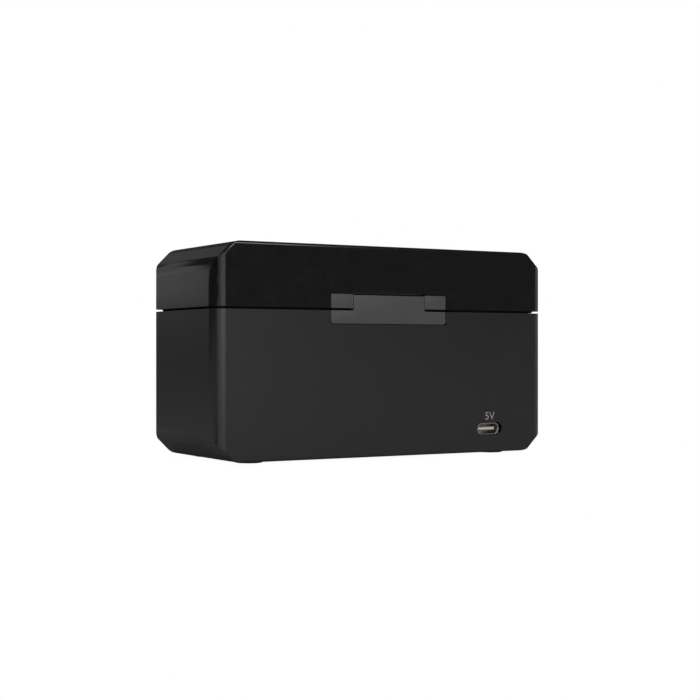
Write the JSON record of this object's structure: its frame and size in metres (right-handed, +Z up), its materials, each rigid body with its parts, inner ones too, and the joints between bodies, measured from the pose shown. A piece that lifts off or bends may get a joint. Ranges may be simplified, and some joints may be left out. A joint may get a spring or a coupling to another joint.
{
  "type": "filament dryer box",
  "caption": "Heated dryer box with a rear-hinged lid: mini filament spools turn on rollers over a blower, heater and desiccant, and feed out at the front.",
  "frame": {"origin": "on the floor under the middle of the closed box", "axes": "+X towards the side away from the socket, +Y towards the rear wall with hinge and socket, +Z up"},
  "size_m": [0.224, 0.087, 0.1232],
  "materials": {
    "case_plastic": "fine spark texture, near black",
    "lid_plastic": "polished black",
    "hinge_plastic": "satin dark grey",
    "tub_plastic": "satin dark grey",
    "smoked_window": "smoked, polished",
    "rubber": "matte black",
    "steel": "bright",
    "white_plastic": "satin off-white",
    "circuit_board": "green board lacquer",
    "black_parts": "satin black",
    "aluminium": "plain",
    "duct_plastic": "heat resistant, natural",
    "brass": "plated contacts",
    "packet_paper": "packet of beads, pale blue",
    "lead_cover": "insulated wire"
  },
  "bodies": {
    "base": {"base_shell": "case_plastic", "foot_pads": "rubber", "drying_tub": "tub_plastic", "tub_screws": "steel", "base_magnets": "steel", "hinge_base_leaf": "hinge_plastic", "hinge_pin": "steel", "hinge_base_screws": "steel", "front_cradle": "tub_plastic", "rear_cradle": "tub_plastic", "cradle_screws": "steel", "roller_bearings": "white_plastic", "blower_housing": "black_parts", "blower_cover": "black_parts", "blower_motor": "steel", "heater_duct": "duct_plastic", "ptc_heater": "aluminium", "thermal_cutout": "steel", "main_board": "circuit_board", "board_parts": "black_parts", "board_screws": "steel", "socket_board": "circuit_board", "socket_shell": "steel", "socket_tongue": "white_plastic", "socket_contacts": "brass", "display_window": "smoked_window", "display_module": "white_plastic", "display_board": "circuit_board", "display_screws": "steel", "button_domes": "white_plastic", "outlet_bush_left": "hinge_plastic", "outlet_bush_right": "hinge_plastic", "humidity_sensor": "white_plastic", "display_ribbon": "white_plastic", "power_leads": "lead_cover", "heater_leads": "lead_cover", "blower_leads": "lead_cover"},
    "lid": {"lid_shell": "lid_plastic", "lid_window": "smoked_window", "lid_seal": "rubber", "lid_magnets": "steel", "hinge_lid_leaf": "hinge_plastic", "hinge_lid_screws": "steel"},
    "blower_impeller": {"blower_impeller": "black_parts"},
    "roller_1": {"roller_1": "tub_plastic", "roller_axle_1": "steel"},
    "roller_2": {"roller_2": "tub_plastic", "roller_axle_2": "steel"},
    "roller_3": {"roller_3": "tub_plastic", "roller_axle_3": "steel"},
    "roller_4": {"roller_4": "tub_plastic", "roller_axle_4": "steel"},
    "button_1": {"button_1": "hinge_plastic"},
    "button_2": {"button_2": "hinge_plastic"},
    "button_3": {"button_3": "hinge_plastic"},
    "desiccant": {"desiccant_cartridge": "white_plastic", "desiccant_packet": "packet_paper", "desiccant_cover": "white_plastic"}
  },
  "joints": [
    {"name": "lid_hinge", "type": "hinge", "parent": "base", "child": "lid", "pos_m": [0, 0.0405, 0.0912], "axis": [-1, 0, 0], "range_deg": [0, 100]},
    {"name": "blower_spin", "type": "hinge", "parent": "base", "child": "blower_impeller", "pos_m": [0.074, 0, 0.008], "axis": [0, 0, 1], "continuous": true},
    {"name": "roller_spin_1", "type": "hinge", "parent": "base", "child": "roller_1", "pos_m": [-0.0825, -0.0019, 0.0217], "axis": [0, 1, 0], "continuous": true},
    {"name": "roller_spin_2", "type": "hinge", "parent": "base", "child": "roller_2", "pos_m": [-0.0225, -0.0019, 0.0217], "axis": [0, 1, 0], "continuous": true},
    {"name": "roller_spin_3", "type": "hinge", "parent": "base", "child": "roller_3", "pos_m": [0.0225, -0.0019, 0.0217], "axis": [0, 1, 0], "continuous": true},
    {"name": "roller_spin_4", "type": "hinge", "parent": "base", "child": "roller_4", "pos_m": [0.0825, -0.0019, 0.0217], "axis": [0, 1, 0], "continuous": true},
    {"name": "button_press_1", "type": "slide", "parent": "base", "child": "button_1", "axis": [0, 1, 0], "range_m": [0, 0.0008], "stiffness_N_per_m": 900},
    {"name": "button_press_2", "type": "slide", "parent": "base", "child": "button_2", "axis": [0, 1, 0], "range_m": [0, 0.0008], "stiffness_N_per_m": 900},
    {"name": "button_press_3", "type": "slide", "parent": "base", "child": "button_3", "axis": [0, 1, 0], "range_m": [0, 0.0008], "stiffness_N_per_m": 900},
    {"name": "desiccant_lift", "type": "slide", "parent": "base", "child": "desiccant", "axis": [0, 0, 1], "range_m": [0, 0.06]}
  ]
}
